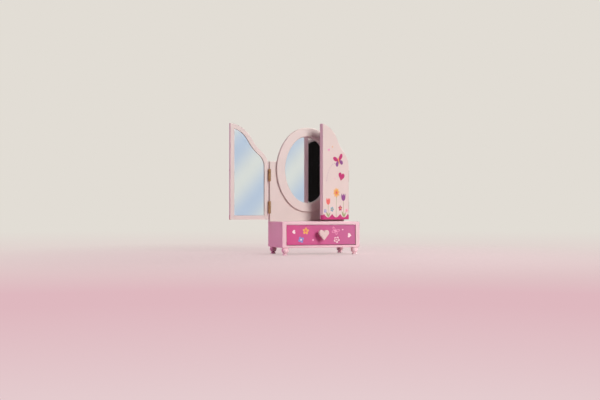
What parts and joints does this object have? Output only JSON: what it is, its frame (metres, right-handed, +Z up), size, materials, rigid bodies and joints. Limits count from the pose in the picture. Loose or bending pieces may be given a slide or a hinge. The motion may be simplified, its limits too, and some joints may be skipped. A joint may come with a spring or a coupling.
{
  "type": "three-part dressing mirror with drawer",
  "caption": "Small painted dressing mirror: a low case with a drawer on turned feet, an oval mirror on an upright panel, and hinged ogee-topped doors with mirrors inside.",
  "frame": {"origin": "on the floor, in the middle of the four feet", "axes": "+X to the right as one faces the drawer, +Y to the back, +Z up; the drawer opens towards -Y"},
  "size_m": [0.2108, 0.093, 0.22],
  "materials": {
    "pale_pink_paint": "satin paint on fibreboard",
    "hot_pink_paint": "satin paint on fibreboard, with painted motifs",
    "cream_pink_paint": "satin paint",
    "bare_wood": "sanded, unpainted",
    "hardboard": "smooth hardboard",
    "mirror_glass": "silvered glass",
    "brass": "plain pressed brass, slightly dulled",
    "zinc_steel": "zinc plated"
  },
  "bodies": {
    "case": {"case_top": "pale_pink_paint", "case_bottom": "pale_pink_paint", "case_left_side": "pale_pink_paint", "case_right_side": "pale_pink_paint", "case_back": "pale_pink_paint", "foot_front_left": "pale_pink_paint", "foot_front_right": "pale_pink_paint", "foot_back_left": "pale_pink_paint", "foot_back_right": "pale_pink_paint", "centre_panel": "pale_pink_paint", "oval_frame": "pale_pink_paint", "mirror_backing": "hardboard", "oval_mirror": "mirror_glass", "left_lower_hinge_panel_leaf": "brass", "left_lower_hinge_pin": "brass", "left_upper_hinge_panel_leaf": "brass", "left_upper_hinge_pin": "brass", "right_lower_hinge_panel_leaf": "brass", "right_lower_hinge_pin": "brass", "right_upper_hinge_panel_leaf": "brass", "right_upper_hinge_pin": "brass", "left_panel_hinge_screws": "brass", "right_panel_hinge_screws": "brass", "panel_screws": "zinc_steel"},
    "left_door": {"left_door": "pale_pink_paint", "left_door_mirror": "mirror_glass", "left_lower_hinge_door_leaf": "brass", "left_upper_hinge_door_leaf": "brass", "left_door_hinge_screws": "brass", "left_door_knob": "pale_pink_paint"},
    "right_door": {"right_door": "pale_pink_paint", "right_door_mirror": "mirror_glass", "right_lower_hinge_door_leaf": "brass", "right_upper_hinge_door_leaf": "brass", "right_door_hinge_screws": "brass"},
    "drawer": {"drawer_front": "hot_pink_paint", "drawer_left_side": "bare_wood", "drawer_right_side": "bare_wood", "drawer_back": "bare_wood", "drawer_bottom": "bare_wood", "heart_knob": "cream_pink_paint", "knob_screw": "zinc_steel"}
  },
  "joints": [
    {"name": "left_door_turn", "type": "hinge", "parent": "case", "child": "left_door", "pos_m": [-0.0692, 0.0276, 0.106], "axis": [0, 0, -1], "range_deg": [-178, 2]},
    {"name": "right_door_turn", "type": "hinge", "parent": "case", "child": "right_door", "pos_m": [0.0692, 0.0276, 0.106], "axis": [0, 0, 1], "range_deg": [-27.5, 152.5]},
    {"name": "drawer_slide", "type": "slide", "parent": "case", "child": "drawer", "axis": [0, -1, 0], "range_m": [0, 0.055]}
  ]
}
